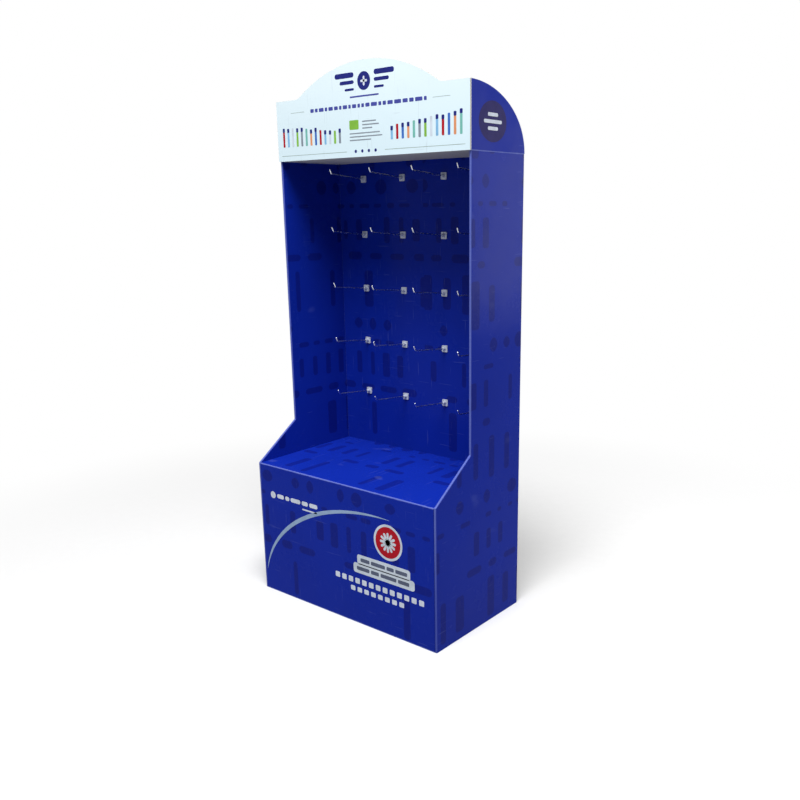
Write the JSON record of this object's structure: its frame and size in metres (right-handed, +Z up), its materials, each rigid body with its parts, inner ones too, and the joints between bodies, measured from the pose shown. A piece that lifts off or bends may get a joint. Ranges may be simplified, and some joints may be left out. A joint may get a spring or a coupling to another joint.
{
  "type": "cardboard display stand",
  "caption": "Floor-standing corrugated display with an arched header, a back panel of wire hooks between deep side walls, and a boxed base with a shelf.",
  "frame": {"origin": "centre of the footprint, on the floor", "axes": "+Z up, -Y towards the viewer at the front, +X to the viewer's right"},
  "size_m": [0.69, 0.393, 1.531],
  "materials": {
    "printed_blue_board": "litho-printed corrugated board with a satin film",
    "printed_white_board": "litho-printed white-faced corrugated board with a satin film",
    "plain_board": "unprinted brown corrugated board",
    "hook_wire": "bright zinc-plated steel wire",
    "hook_clip": "milky moulded plastic"
  },
  "bodies": {
    "root": {"body_wrap": "printed_blue_board", "base_insert": "printed_blue_board", "base_tray": "plain_board", "support_long": "plain_board", "support_cross": "plain_board", "header_tray": "printed_blue_board", "header_front": "printed_white_board", "hook_wire_r1_c1": "hook_wire", "hook_wire_r1_c2": "hook_wire", "hook_wire_r1_c3": "hook_wire", "hook_wire_r1_c4": "hook_wire", "hook_wire_r2_c1": "hook_wire", "hook_wire_r2_c2": "hook_wire", "hook_wire_r2_c3": "hook_wire", "hook_wire_r2_c4": "hook_wire", "hook_wire_r3_c1": "hook_wire", "hook_wire_r3_c2": "hook_wire", "hook_wire_r3_c3": "hook_wire", "hook_wire_r3_c4": "hook_wire", "hook_wire_r4_c1": "hook_wire", "hook_wire_r4_c2": "hook_wire", "hook_wire_r4_c3": "hook_wire", "hook_wire_r4_c4": "hook_wire", "hook_wire_r5_c1": "hook_wire", "hook_wire_r5_c2": "hook_wire", "hook_wire_r5_c3": "hook_wire", "hook_wire_r5_c4": "hook_wire", "hook_clip_r1_c1": "hook_clip", "hook_clip_r1_c2": "hook_clip", "hook_clip_r1_c3": "hook_clip", "hook_clip_r1_c4": "hook_clip", "hook_clip_r2_c1": "hook_clip", "hook_clip_r2_c2": "hook_clip", "hook_clip_r2_c3": "hook_clip", "hook_clip_r2_c4": "hook_clip", "hook_clip_r3_c1": "hook_clip", "hook_clip_r3_c2": "hook_clip", "hook_clip_r3_c3": "hook_clip", "hook_clip_r3_c4": "hook_clip", "hook_clip_r4_c1": "hook_clip", "hook_clip_r4_c2": "hook_clip", "hook_clip_r4_c3": "hook_clip", "hook_clip_r4_c4": "hook_clip", "hook_clip_r5_c1": "hook_clip", "hook_clip_r5_c2": "hook_clip", "hook_clip_r5_c3": "hook_clip", "hook_clip_r5_c4": "hook_clip"}
  },
  "joints": []
}
